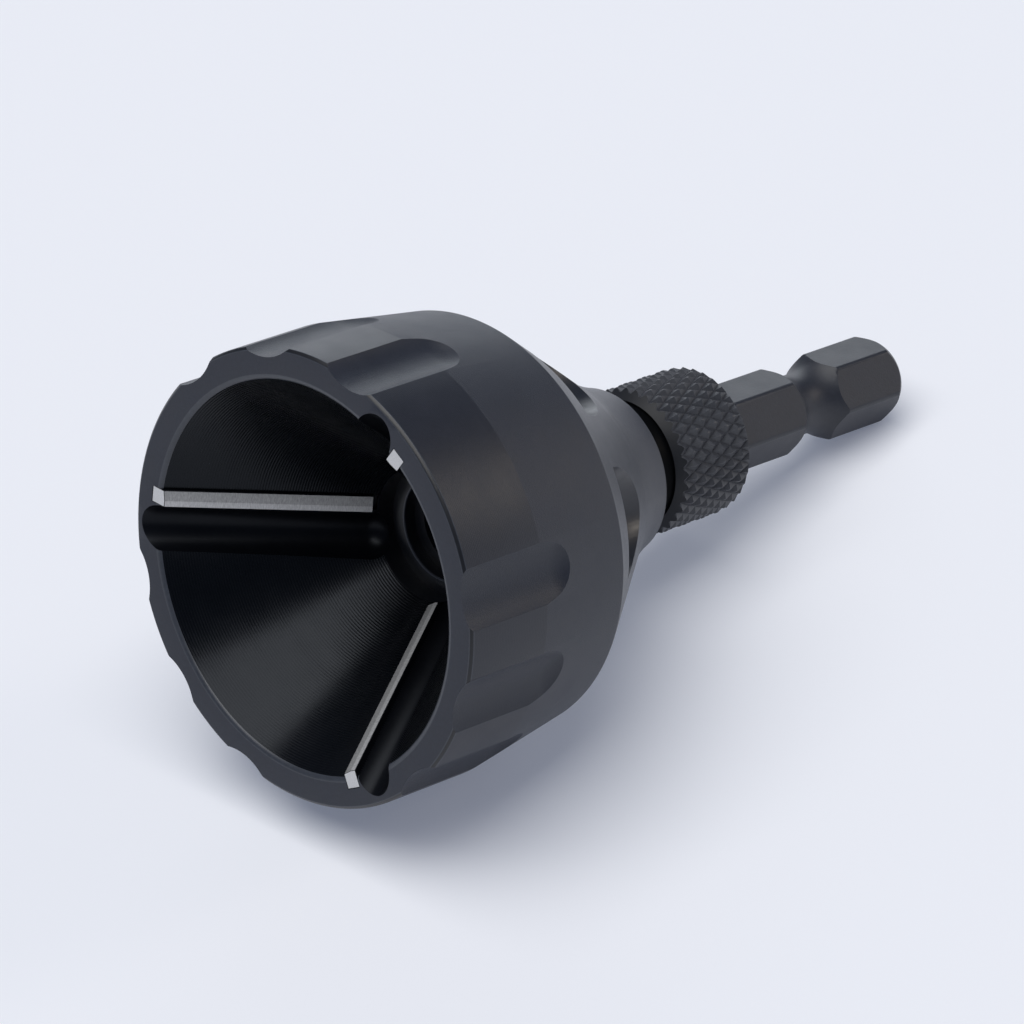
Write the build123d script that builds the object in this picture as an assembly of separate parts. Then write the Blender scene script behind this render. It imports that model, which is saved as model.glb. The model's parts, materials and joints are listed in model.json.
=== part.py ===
from build123d import *
import math
import os

# Deburring chamfer tool for the ends of bolts and rods: a turned cup with a conical mouth,
# three brazed cutting strips, a tapped neck, a threaded hex shank and a knurled lock collar.
#
# Lengths are in millimetres and angles in degrees. The tool is built along its own axis:
# z = 0 is the flat front of the cup, +z runs to the shank, and a polar angle is counted
# about that axis from +x towards +y. place_at_rest then lays it down on the floor.

# Mouth of the cup
mouth_radius = 15.6
mouth_break = 0.15
cone_depth = 13.4
recess_radius = 5.3
recess_depth = 1.8
counterbore_radius = 4.1
counterbore_depth = 1.15

# Outside of the cup
rim_width = 2.4
rim_chamfer = 0.45
band_length = 8.0
taper_length = 9.8
taper_angle = 8.1
neck_radius = 6.82
neck_break = 0.15
neck_slope = 14.5
neck_fillet = 15.0
neck_length = 15.5

# Finger flutes round the front band, in three groups
group_count = 3
flutes_in_group = 3
flute_phase = 33.0
flute_pitch = 28.0
flute_radius = 4.5
flute_depth = 0.85
flute_length = 9.3

# Round scallops plunged into the rear cone from behind, in three pairs
scallop_phase = 337.4
scallop_spread = 51.9
scallop_radius = 4.5
scallop_pitch_radius = 15.2
scallop_land = 2.6

# Cutting strips, lying along the cone and standing proud of it, each with its cutting edge
# on a half plane through the tool's axis
blade_count = 3
blade_phase = 82.0
blade_width = 1.3
blade_height = 1.05
blade_proud = 0.48
blade_end_gap = 0.4
blade_front_gap = 0.02
braze_film = 0.02

# Chip groove beside each strip, running out into the recess
groove_radius = 1.9
groove_depth = 1.27
groove_end_gap = 0.4

# Threaded stud and its holes
thread_radius = 3.0
thread_clearance = 0.05
stud_engagement = 11.8
stud_chamfer = 0.5

# Knurled lock collar
boss_radius = 5.0
boss_length = 2.65
knurl_root_radius = 5.6
knurl_crest_radius = 6.05
knurl_starts = 35
knurl_row_pitch = 1.07
knurl_rows = 6
collar_ledge = 0.05
collar_front_chamfer = 0.35
collar_rear_chamfer = 0.3
collar_edge_drop = 0.3
collar_travel = 1.8

# Hex shank with its ball groove
hex_across_flats = 6.35
hex_corner_radius = 3.6
hex_phase = 110.0
hex_front_length = 7.2
hex_shoulder_radius = 3.1
hex_shoulder_chamfer = 0.35
ball_groove_width = 5.3
ball_groove_floor = 2.5
ball_groove_facets = 7
hex_rear_length = 6.95
hex_end_radius = 3.0
hex_end_chamfer = 0.95
turning_facets = 36
turning_overrun = 0.2

# How far a cutter runs past the surface that it opens
cutter_overrun = 5.0

# Sizes that follow from the ones above
front_radius = mouth_radius + rim_width
edge_z = band_length + taper_length
edge_radius = front_radius - taper_length * math.tan(math.radians(taper_angle))
recess_floor_z = cone_depth + recess_depth
counterbore_floor_z = recess_floor_z + counterbore_depth
body_end_z = edge_z + neck_length
cone_slant = math.hypot(mouth_radius - recess_radius, cone_depth)
cone_angle = math.degrees(math.atan2(mouth_radius - recess_radius, cone_depth))
tapped_hole_radius = thread_radius + thread_clearance
knurl_length = (knurl_rows + 1) * knurl_row_pitch
knurl_start_z = body_end_z + boss_length + collar_front_chamfer
collar_end_z = knurl_start_z + knurl_length + collar_rear_chamfer
hex_start_z = collar_end_z + collar_travel
ball_groove_start_z = hex_start_z + hex_front_length
ball_groove_end_z = ball_groove_start_z + ball_groove_width
shank_end_z = ball_groove_end_z + hex_rear_length
hex_chamfer_z = shank_end_z - hex_end_chamfer
hex_flat_distance = hex_across_flats / 2
hex_chamfer_drop = hex_corner_radius - hex_end_radius
hex_flat_share = (hex_corner_radius - hex_flat_distance) / hex_chamfer_drop
hex_flat_end_z = hex_chamfer_z + hex_end_chamfer * hex_flat_share


def at_angle(shape, angle):
    """Turns a shape about the tool's axis."""
    return Rot(0, 0, angle) * shape


def revolved(points):
    """Turns a closed outline of (radius, z) points about the tool's axis."""
    outline = Polyline(*[(radius, 0, z) for radius, z in points], close=True)
    return revolve(make_face(outline), Axis.Z)


def ball_ended_cutter(radius, length):
    """A round cutter along +z from the origin, whose ball end is centred at that length."""
    shaft = Pos(0, 0, length / 2) * Cylinder(radius, length)
    return shaft + Pos(0, 0, length) * Sphere(radius)


def above_cone(along, height):
    """The (radius, z) of a point along the mouth's cone from the rim, and above its surface."""
    lean = math.radians(cone_angle)
    radius = mouth_radius - along * math.sin(lean) - height * math.cos(lean)
    z = along * math.cos(lean) - height * math.sin(lean)
    return radius, z


def cone_at_front(height):
    """The distance along the cone where a line at that height crosses the front face."""
    return height * math.tan(math.radians(cone_angle))


def strip_section(low, high, front_z, end):
    """Outline in the (radius, z) plane of a strip between two heights above the cone."""
    lean = math.radians(cone_angle)
    front_run = front_z / math.cos(lean)
    return [
        above_cone(cone_at_front(low) + front_run, low),
        above_cone(cone_at_front(high) + front_run, high),
        above_cone(end, high),
        above_cone(end, low),
    ]


def strip(section, margin, angle):
    """A straight bar of that section, from the half plane at that angle to the blade's width."""
    outline = Polyline(*[(radius, 0, z) for radius, z in section], close=True)
    bar = extrude(make_face(outline), amount=blade_width + 2 * margin, dir=(0, 1, 0))
    return at_angle(Pos(0, -margin, 0) * bar, angle)


def rear_tangent_point():
    """Where the rear cone, drawn from the sharp edge, meets the neck's fillet: (radius, z)."""
    slope = math.radians(neck_slope)
    centre_z = body_end_z - neck_break + neck_fillet * math.sin(slope)
    centre_radius = neck_radius + neck_fillet * math.cos(slope)
    run_z = edge_z - centre_z
    run_radius = edge_radius - centre_radius
    toward_edge = math.atan2(run_radius, run_z)
    touch = toward_edge + math.acos(neck_fillet / math.hypot(run_z, run_radius))
    return centre_radius + neck_fillet * math.sin(touch), centre_z + neck_fillet * math.cos(touch)


def turned_cup():
    """The cup as it leaves the lathe."""
    cone_end = rear_tangent_point()
    neck_corner = (neck_radius, body_end_z - neck_break)
    inside_and_rear = [
        neck_corner,
        (neck_radius - neck_break, body_end_z),
        (tapped_hole_radius, body_end_z),
        (tapped_hole_radius, counterbore_floor_z),
        (counterbore_radius, counterbore_floor_z),
        (counterbore_radius, recess_floor_z),
        (recess_radius, recess_floor_z),
        (recess_radius, cone_depth),
        above_cone(mouth_break, 0),
        (mouth_radius + mouth_break, 0),
        (front_radius - rim_chamfer, 0),
        (front_radius, rim_chamfer),
        (front_radius, band_length),
        (edge_radius, edge_z),
        cone_end,
    ]
    straight = Polyline(*[(radius, 0, z) for radius, z in inside_and_rear])
    along_cone = (cone_end[0] - edge_radius, 0, cone_end[1] - edge_z)
    fillet_arc = TangentArc(
        (cone_end[0], 0, cone_end[1]), (neck_corner[0], 0, neck_corner[1]), tangent=along_cone
    )
    cup = revolve(make_face(straight.edges() + [fillet_arc]), Axis.Z)
    # the seam of the turned faces runs through the point that the cup rests on
    return at_angle(cup, hex_phase)


def flute_cutters():
    """Ball-ended cutters for the finger flutes, run in from the front."""
    centre_radius = front_radius - flute_depth + flute_radius
    cutters = []
    for group in range(group_count):
        for place in range(flutes_in_group):
            step = place - (flutes_in_group - 1) / 2
            angle = flute_phase + group * 360 / group_count + step * flute_pitch
            cutter = ball_ended_cutter(flute_radius, flute_length + cutter_overrun)
            cutters.append(at_angle(Pos(centre_radius, 0, -cutter_overrun) * cutter, angle))
    return cutters


def scallop_cutters():
    """Flat-ended round cutters plunged along the axis into the rear cone."""
    length = body_end_z - edge_z
    cutters = []
    for group in range(group_count):
        for side in (-1, 1):
            angle = scallop_phase + group * 360 / group_count + side * scallop_spread / 2
            middle_z = edge_z + scallop_land + length / 2
            cutter = Pos(scallop_pitch_radius, 0, middle_z) * Cylinder(scallop_radius, length)
            cutters.append(at_angle(cutter, angle))
    return cutters


def blade_angles():
    return [blade_phase + number * 360 / blade_count for number in range(blade_count)]


def slot_cutters():
    """The slots that the strips are brazed into."""
    low = blade_proud - blade_height - braze_film
    section = strip_section(low, cutter_overrun, -cutter_overrun, cone_slant)
    return [strip(section, braze_film, angle) for angle in blade_angles()]


def groove_cutters():
    """A round-bottomed chip groove beside each strip, parallel to it."""
    height = groove_radius - groove_depth
    start = above_cone(-cutter_overrun, height)
    length = cone_slant - groove_end_gap + cutter_overrun
    cutters = []
    for angle in blade_angles():
        cutter = ball_ended_cutter(groove_radius, length)
        laid = Pos(start[0], -groove_radius, start[1]) * Rot(0, -cone_angle, 0) * cutter
        cutters.append(at_angle(laid, angle))
    return cutters


def cutter_body():
    """The cup with its flutes, scallops, slots and chip grooves."""
    return turned_cup() - flute_cutters() - scallop_cutters() - slot_cutters() - groove_cutters()


def cutting_blade(angle):
    """One ground strip, flush with the cup's front."""
    section = strip_section(
        blade_proud - blade_height, blade_proud, blade_front_gap, cone_slant - blade_end_gap
    )
    return strip(section, 0, angle)


def knurl_point(row, column):
    """A corner of the diamond knurl: crests and roots take turns along and round the collar."""
    at_the_end = row in (0, knurl_rows + 1)
    is_root = (row + column) % 2 == 0
    radius = knurl_root_radius if at_the_end or is_root else knurl_crest_radius
    angle = math.radians(column * 180 / knurl_starts)
    z = knurl_start_z + row * knurl_row_pitch
    return Vector(radius * math.cos(angle), radius * math.sin(angle), z)


def knurled_block():
    """A closed block whose side is a field of small pyramids, four sloping faces each."""
    columns = 2 * knurl_starts
    faces = []
    for row in range(knurl_rows + 1):
        for column in range(columns):
            a = knurl_point(row, column)
            b = knurl_point(row, (column + 1) % columns)
            c = knurl_point(row + 1, (column + 1) % columns)
            d = knurl_point(row + 1, column)
            if (row + column) % 2 == 0:
                corners = [(a, b, c), (a, c, d)]
            else:
                corners = [(a, b, d), (b, c, d)]
            faces += [Face(Wire.make_polygon(three, close=True)) for three in corners]
    for row in (0, knurl_rows + 1):
        ring = [knurl_point(row, column) for column in range(columns)]
        faces.append(Face(Wire.make_polygon(ring, close=True)))
    return Solid(Shell(faces))


def lock_collar():
    """Knurled nut with a plain boss, which jams against the neck."""
    inner = tapped_hole_radius
    side = knurl_root_radius - collar_ledge
    knurl_end_z = knurl_start_z + knurl_length
    front = revolved([
        (inner, body_end_z),
        (boss_radius, body_end_z),
        (boss_radius, body_end_z + boss_length),
        (side - collar_edge_drop, body_end_z + boss_length),
        (side, knurl_start_z),
        (inner, knurl_start_z),
    ])
    rear = revolved([
        (inner, knurl_end_z),
        (side, knurl_end_z),
        (side - collar_edge_drop, collar_end_z),
        (inner, collar_end_z),
    ])
    hole = Pos(0, 0, (knurl_start_z + knurl_end_z) / 2) * Cylinder(inner, knurl_length)
    return (knurled_block() - hole) + front + rear


def hex_bar(start_z, end_z):
    """A length of the drawn hex bar, with its slightly rounded corners."""
    first_corner = hex_phase - 180 / 6
    outline = RegularPolygon(hex_flat_distance, 6, major_radius=False, rotation=first_corner)
    bar = extrude(outline & Circle(hex_corner_radius), amount=end_z - start_z)
    return Pos(0, 0, start_z) * bar


def out_past_corners(inner, outer):
    """Carries the line from one (radius, z) point to another on until it clears the hex's corners."""
    reach = hex_corner_radius + turning_overrun
    share = (reach - inner[0]) / (outer[0] - inner[0])
    return reach, inner[1] + share * (outer[1] - inner[1])


def ball_groove_points():
    """The ball groove's arc in short straight lines, from its front to its rear: (radius, z)."""
    half_width = ball_groove_width / 2
    depth = hex_corner_radius - ball_groove_floor
    arc_radius = (half_width**2 + depth**2) / (2 * depth)
    half_angle = math.acos(1 - (depth + turning_overrun) / arc_radius)
    middle_z = ball_groove_start_z + half_width
    points = []
    for step in range(ball_groove_facets + 1):
        angle = half_angle * (2 * step / ball_groove_facets - 1)
        rise = arc_radius * (1 - math.cos(angle))
        points.append((ball_groove_floor + rise, middle_z + arc_radius * math.sin(angle)))
    return points


def facet_ring(radius, z):
    """Corners of a ring of facets, one of them straight above the flat that lies on the floor."""
    ring = []
    for step in range(turning_facets):
        angle = math.radians(hex_phase + step * 360 / turning_facets)
        ring.append(Vector(radius * math.cos(angle), radius * math.sin(angle), z))
    return ring


def faceted_turning(points):
    """A block turned from (radius, z) points, in flat facets that cut the hex in straight lines."""
    rings = [facet_ring(radius, z) for radius, z in points]
    faces = [Face(Wire.make_polygon(ring, close=True)) for ring in (rings[0], rings[-1])]
    for low, high in zip(rings, rings[1:]):
        for step in range(turning_facets):
            after = (step + 1) % turning_facets
            corners = (low[step], low[after], high[after], high[step])
            faces.append(Face(Wire.make_polygon(corners, close=True)))
    return Solid(Shell(faces))


def hex_shank():
    """Hex bar turned down to a stud at the front, with a ball groove near its end."""
    stud_front_z = body_end_z - stud_engagement
    stud = revolved([
        (0, stud_front_z),
        (thread_radius - stud_chamfer, stud_front_z),
        (thread_radius, stud_front_z + stud_chamfer),
        (thread_radius, hex_start_z),
        (0, hex_start_z),
    ])
    shoulder = (hex_shoulder_radius, hex_start_z)
    shank_end = (hex_end_radius, shank_end_z)
    turned = faceted_turning([
        shoulder,
        out_past_corners(shoulder, (hex_corner_radius, hex_start_z + hex_shoulder_chamfer)),
        *ball_groove_points(),
        out_past_corners(shank_end, (hex_corner_radius, hex_chamfer_z)),
        shank_end,
    ])
    return stud + (hex_bar(hex_start_z, shank_end_z) & turned)


def rest_placement(pieces):
    """Lays the tool on its sharp edge and the end of one hex flat, centred over the origin."""
    drop = edge_radius - hex_flat_distance
    tilt = math.atan2(drop, hex_flat_end_z - edge_z)
    flat = math.radians(hex_phase)
    axis = Vector(math.cos(tilt), 0, -math.sin(tilt))
    down = Vector(-math.sin(tilt), 0, -math.cos(tilt))
    side = Vector(0, 1, 0)
    x_dir = down * math.cos(flat) - side * math.sin(flat)
    laid = Plane(origin=(0, 0, 0), x_dir=x_dir, z_dir=axis).location
    box = Compound([laid * piece for piece in pieces.values()]).bounding_box()
    middle = box.center()
    return Pos(-middle.X, -middle.Y, -box.min.Z) * laid


def all_pieces():
    pieces = {"cutter_body": cutter_body()}
    for number, angle in enumerate(blade_angles(), start=1):
        pieces[f"blade_{number}"] = cutting_blade(angle)
    pieces["lock_collar"] = lock_collar()
    pieces["hex_shank"] = hex_shank()
    return pieces


os.makedirs("parts", exist_ok=True)
tool_pieces = all_pieces()
place_at_rest = rest_placement(tool_pieces)
for name, piece in tool_pieces.items():
    export_step(place_at_rest * piece, f"parts/{name}.step")
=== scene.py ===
# %% [markdown]
# Deburring chamfer tool
#
# The tool takes the sharp edge off the end of a bolt or a rod. A turned steel cup holds three brazed
# carbide strips in its conical mouth, a hex shank screws into the cup's neck, and a knurled collar
# on the same thread locks the two together. The whole tool is blackened, except for the strips.
#
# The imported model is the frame: it fixes every size and place. This lesson makes the same pieces
# again with finer edges, a real knurl and a real thread, and gives them their finishes.

# %% Load the frame
import json
import math

import bmesh
import bpy
from mathutils import Matrix, Vector


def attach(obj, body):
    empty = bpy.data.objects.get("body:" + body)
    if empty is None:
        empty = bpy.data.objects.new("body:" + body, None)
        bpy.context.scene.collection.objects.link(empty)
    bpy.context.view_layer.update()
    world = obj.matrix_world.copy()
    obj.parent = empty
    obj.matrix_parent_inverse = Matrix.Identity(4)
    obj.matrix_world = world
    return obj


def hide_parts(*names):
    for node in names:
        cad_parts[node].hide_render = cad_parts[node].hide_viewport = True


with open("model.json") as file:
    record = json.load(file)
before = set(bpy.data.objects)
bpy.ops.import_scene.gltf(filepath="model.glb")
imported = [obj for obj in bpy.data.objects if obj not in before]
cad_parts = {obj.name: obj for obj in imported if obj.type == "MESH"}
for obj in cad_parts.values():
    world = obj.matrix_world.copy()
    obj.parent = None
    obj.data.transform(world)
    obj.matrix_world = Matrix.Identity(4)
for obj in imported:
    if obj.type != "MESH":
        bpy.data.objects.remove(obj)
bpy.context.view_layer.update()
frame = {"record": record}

# %% [markdown]
# The tool lies on its side, so its own axis isn't an axis of the frame. The record's mounts say where
# the mouth is and which way the shank points. From these comes one matrix that carries a piece from
# the tool's own coordinates, in millimetres with z from the mouth to the shank, to its place.

# %% The tool's own axis
MILLIMETRE = 0.001
ANGLE_THAT_LIES_DOWN = 110.0

mounts = {mount["name"]: mount for mount in frame["record"]["mounts"]}
mouth_centre = Vector(mounts["work_mouth"]["pos_m"])
tool_axis = Vector(mounts["shank_drive"]["axis"]).normalized()
sideways = Vector((0, 1, 0))
downward = sideways.cross(tool_axis)
lying = math.radians(ANGLE_THAT_LIES_DOWN)
tool_x = downward * math.cos(lying) - sideways * math.sin(lying)
tool_y = tool_axis.cross(tool_x)
tool_turn = Matrix((tool_x, tool_y, tool_axis)).transposed()
tool_to_frame = Matrix.Translation(mouth_centre) @ tool_turn.to_4x4() @ Matrix.Scale(MILLIMETRE, 4)
print("mouth centre", mouth_centre, "axis", tool_axis)

# %% [markdown]
# A few helpers do what a lathe, a milling cutter and a file do. First the lathe: a turned form is an
# outline of (radius, z) points that is spun about z. A corner of the outline is broken or rounded
# before the spin, which is simpler than a bevel round the finished form. Points that meet on the axis
# are merged afterwards, so that the form is closed.

# %% Turning
POINTS_MEET = 1e-5


def outline_mesh(points, closed=True):
    """A mesh of edges through (radius, z) points."""
    mesh = bmesh.new()
    corners = [mesh.verts.new((radius, 0, z)) for radius, z in points]
    for start, end in zip(corners, corners[1:]):
        mesh.edges.new((start, end))
    if closed:
        mesh.edges.new((corners[-1], corners[0]))
    return mesh


def round_corner(outline, corner, offset, segments):
    """Breaks or rounds one corner of an outline."""
    bmesh.ops.bevel(
        outline, geom=[corner], offset=offset, offset_type="OFFSET", affect="VERTICES",
        segments=segments, profile=0.5, material=-1,
    )


def spin_round(mesh, steps):
    """Spins a mesh of edges about z and closes it."""
    bmesh.ops.spin(
        mesh, geom=mesh.verts[:] + mesh.edges[:], cent=(0, 0, 0), axis=(0, 0, 1),
        angle=2 * math.pi, steps=steps, use_merge=True,
    )
    bmesh.ops.remove_doubles(mesh, verts=mesh.verts, dist=POINTS_MEET)
    bmesh.ops.recalc_face_normals(mesh, faces=mesh.faces)
    return mesh


def turned(points, steps):
    return spin_round(outline_mesh(points), steps)


print("points merge when nearer than", POINTS_MEET, "mm")

# %% [markdown]
# Next the milling cutter: a second mesh, which a Boolean takes away. Meshes that make one kind of cut
# are joined first, so that one Boolean makes them all. The Boolean leaves some points very close
# together, and merging them takes away the thinnest of its triangles.

# %% Cutting
CUT_MERGE = 0.004


def as_object(mesh, name, finishes=()):
    """Turns a bmesh into a linked object and frees it."""
    data = bpy.data.meshes.new(name)
    mesh.to_mesh(data)
    mesh.free()
    for finish in finishes:
        data.materials.append(finish)
    made = bpy.data.objects.new(name, data)
    bpy.context.scene.collection.objects.link(made)
    return made


def boolean(mesh, tool, operation="DIFFERENCE", finishes=()):
    """Cuts one bmesh with another. Each face keeps the finish number of the mesh it came from."""
    base = as_object(mesh, "base", finishes)
    cutter = as_object(tool, "cutter", finishes)
    modifier = base.modifiers.new("cut", "BOOLEAN")
    modifier.operation = operation
    modifier.solver = "EXACT"
    modifier.use_self = True
    modifier.object = cutter
    evaluated = base.evaluated_get(bpy.context.evaluated_depsgraph_get())
    result = bmesh.new()
    result.from_mesh(evaluated.to_mesh())
    for used in (base, cutter):
        data = used.data
        bpy.data.objects.remove(used)
        bpy.data.meshes.remove(data)
    bmesh.ops.remove_doubles(result, verts=result.verts, dist=CUT_MERGE)
    bmesh.ops.dissolve_degenerate(result, edges=result.edges, dist=CUT_MERGE)
    return result


def join(meshes):
    """Puts several bmeshes into one."""
    whole = bmesh.new()
    for mesh in meshes:
        data = bpy.data.meshes.new("part")
        mesh.to_mesh(data)
        mesh.free()
        whole.from_mesh(data)
        bpy.data.meshes.remove(data)
    return whole


def finish_number(mesh, number):
    """Gives all faces of a mesh one finish number."""
    for face in mesh.faces:
        face.material_index = number
    return mesh


print("cuts merge points nearer than", CUT_MERGE, "mm")

# %% [markdown]
# Last the file: no real edge is quite sharp, and a narrow bevel where two cuts meet catches the light
# as a worn edge does. When a piece is done, the flakes that cuts leave on it are taken away and its
# faces are turned outwards, still in millimetres, because in metres its smallest faces are too small
# for Blender to tell which way they face. Faces that meet at a small angle are shaded smoothly, and a
# Weighted Normal modifier lets the large ones lead, so that flats look flat beside their bevels.

# %% Breaking edges
def break_edges(mesh, edges, width, segments=2):
    """Rounds edges a little, and returns the new faces."""
    made = bmesh.ops.bevel(
        mesh, geom=edges, offset=width, offset_type="OFFSET", affect="EDGES",
        segments=segments, profile=0.5, material=-1, clamp_overlap=True,
    )
    return made["faces"]


def sharp_edges(mesh, limit_degrees):
    """The edges where two faces meet at more than that angle."""
    limit = math.radians(limit_degrees)
    return [e for e in mesh.edges if len(e.link_faces) == 2 and e.calc_face_angle(0) > limit]


# %% Placing a piece
WELD = 0.0005
SMOOTH_LIMIT = math.radians(28)


def tidy_faces(mesh):
    """Takes away flakes that the cuts leave lying on the surface, and turns all faces outwards."""
    bmesh.ops.remove_doubles(mesh, verts=mesh.verts, dist=WELD)
    flakes = [
        face for face in mesh.faces
        if len({other for edge in face.edges for other in edge.link_faces}) <= 2
        or all(len(edge.link_faces) != 2 for edge in face.edges)
    ]
    bmesh.ops.delete(mesh, geom=flakes, context="FACES")
    bmesh.ops.recalc_face_normals(mesh, faces=mesh.faces)
    if mesh.calc_volume(signed=True) < 0:
        bmesh.ops.reverse_faces(mesh, faces=mesh.faces)


def place(mesh, name, materials, body, nodes):
    """Makes the finished piece: in its place in the frame, shaded, riding on its body."""
    tidy_faces(mesh)
    mesh.transform(tool_to_frame)
    for face in mesh.faces:
        face.smooth = True
    for edge in mesh.edges:
        edge.smooth = len(edge.link_faces) == 2 and edge.calc_face_angle(0) < SMOOTH_LIMIT
    piece = as_object(mesh, name, materials)
    shading = piece.modifiers.new("large faces lead", "WEIGHTED_NORMAL")
    shading.keep_sharp = True
    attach(piece, body)
    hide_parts(*nodes)
    triangles = sum(len(face.vertices) - 2 for face in piece.data.polygons)
    print(name, "triangles", triangles)
    return piece


print("faces are smooth below", round(math.degrees(SMOOTH_LIMIT)), "degrees")

# %% [markdown]
# The materials come before the pieces, so that each piece can be given its finishes as it is made.
# All the black parts are blackened steel, which looks like a dark coat with a soft grey sheen. What
# differs is how each surface was cut: turned with fine rings, bead blasted, or left by a round cutter,
# and a few tones also carry painted light: painted shade on the collar's boss and front chamfer, on
# the rim chamfer, in the bored recess and on the strips' sides, and a painted highlight on the edges.
# The rings and the blast grain are node groups, because most of the finishes use them.

# %% Node helpers
def new_group(name, inputs, outputs):
    """A shader node group with named sockets, and its input and output nodes."""
    tree = bpy.data.node_groups.new(name, "ShaderNodeTree")
    for label, value in inputs:
        socket = tree.interface.new_socket(label, in_out="INPUT", socket_type="NodeSocketFloat")
        socket.default_value = value
    for label in outputs:
        tree.interface.new_socket(label, in_out="OUTPUT", socket_type="NodeSocketFloat")
    return tree, tree.nodes.new("NodeGroupInput"), tree.nodes.new("NodeGroupOutput")


def use_group(tree, group, **values):
    """Puts a node group into a material, with this material's own values."""
    node = tree.nodes.new("ShaderNodeGroup")
    node.node_tree = group
    for label, value in values.items():
        node.inputs[label].default_value = value
    return node


def maths(tree, operation, first, second=None):
    """A Math node fed with sockets or numbers; returns its output."""
    node = tree.nodes.new("ShaderNodeMath")
    node.operation = operation
    for socket, value in zip(node.inputs, (first, second)):
        if value is None:
            continue
        if isinstance(value, bpy.types.NodeSocket):
            tree.links.new(value, socket)
        else:
            socket.default_value = value
    return node.outputs[0]


# %% Patterns that follow the tool
def tool_coordinates(tree):
    """The point in metres along and across the tool's own axis, from Object coordinates."""
    place_node = tree.nodes.new("ShaderNodeTexCoord")
    mapping = tree.nodes.new("ShaderNodeMapping")
    mapping.vector_type = "TEXTURE"
    mapping.inputs["Location"].default_value = mouth_centre
    mapping.inputs["Rotation"].default_value = tool_turn.to_euler()
    tree.links.new(place_node.outputs["Object"], mapping.inputs["Vector"])
    return mapping.outputs["Vector"]


def noise(tree, vector, size, detail=2.0, rough=0.5):
    """A noise whose patches are about that size across; returns its value, from 0 to 1."""
    node = tree.nodes.new("ShaderNodeTexNoise")
    node.inputs["Scale"].default_value = 1 / size
    node.inputs["Detail"].default_value = detail
    node.inputs["Roughness"].default_value = rough
    tree.links.new(vector, node.inputs["Vector"])
    return node.outputs["Fac"]


def two_tones(tree, share, low, high, shader):
    """Mixes two colours by a share and paints the shader with the result."""
    tint = tree.nodes.new("ShaderNodeMix")
    tint.data_type = "RGBA"
    tint.inputs["A"].default_value = (*low, 1)
    tint.inputs["B"].default_value = (*high, 1)
    tree.links.new(share, tint.inputs["Factor"])
    tree.links.new(tint.outputs["Result"], shader.inputs["Base Color"])


# %% Turning rings
RING_PITCH = 0.00017
RING_PATCH = 0.0011


def make_ring_group():
    """Fine rings round the axis, as a lathe tool leaves: a height that varies in strength."""
    tree, given, put = new_group("turning rings", [("Pitch", RING_PITCH)], ["Height"])
    split = tree.nodes.new("ShaderNodeSeparateXYZ")
    tree.links.new(tool_coordinates(tree), split.inputs[0])
    along = split.outputs["Z"]
    turns = maths(tree, "DIVIDE", along, given.outputs["Pitch"])
    wave = maths(tree, "SINE", maths(tree, "MULTIPLY", turns, 2 * math.pi))
    joined = tree.nodes.new("ShaderNodeCombineXYZ")
    tree.links.new(along, joined.inputs["X"])
    uneven = noise(tree, joined.outputs[0], RING_PATCH, detail=3.0)
    tree.links.new(maths(tree, "MULTIPLY", wave, uneven), put.inputs["Height"])
    return tree


ring_group = make_ring_group()
print("rings every", RING_PITCH, "m")

# %% Blast grain
GRAIN_SIZE = 0.00016
FINE_GRAIN = 0.00009
PIT_SIZE = 1.0
FLECK_SIZE = 2.1


def make_grain_group():
    """The pitted grain that bead blasting leaves: height and a pale speckle."""
    tree, given, put = new_group("blast grain", [("Size", GRAIN_SIZE)], ["Height", "Speckle"])
    scale = tree.nodes.new("ShaderNodeVectorMath")
    scale.operation = "DIVIDE"
    joined = tree.nodes.new("ShaderNodeCombineXYZ")
    for axis in "XYZ":
        tree.links.new(given.outputs["Size"], joined.inputs[axis])
    tree.links.new(tool_coordinates(tree), scale.inputs[0])
    tree.links.new(joined.outputs[0], scale.inputs[1])
    pits = noise(tree, scale.outputs[0], PIT_SIZE, detail=2.0, rough=0.6)
    flecks = noise(tree, scale.outputs[0], FLECK_SIZE, detail=4.0, rough=0.7)
    tree.links.new(pits, put.inputs["Height"])
    tree.links.new(flecks, put.inputs["Speckle"])
    return tree


grain_group = make_grain_group()
print("node groups", [group.name for group in bpy.data.node_groups])

# %% [markdown]
# Blackened steel is a dark oxide coat, so the shader isn't metallic. Its tone swings between two
# values by a broad cloud and by the speckle of the grain, and the same cloud makes the roughness
# uneven. The grain and the rings raise a bump, and in the mouth the rings vary the roughness too. A
# blasted face also has some sheen, the dusty light that shows where a face is seen along itself.

# %% Blackened steel
COAT_TONE = (0.016, 0.0195, 0.031)
SHEEN_ROUGHNESS = 0.3
SHEEN_TINT = (0.92, 0.96, 1.0, 1)
TONE_SWING = 0.55
CLOUD_SIZE = 0.0025
CLOUD_SHARE = 0.4
NOISE_MIDDLE = 0.5


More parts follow.
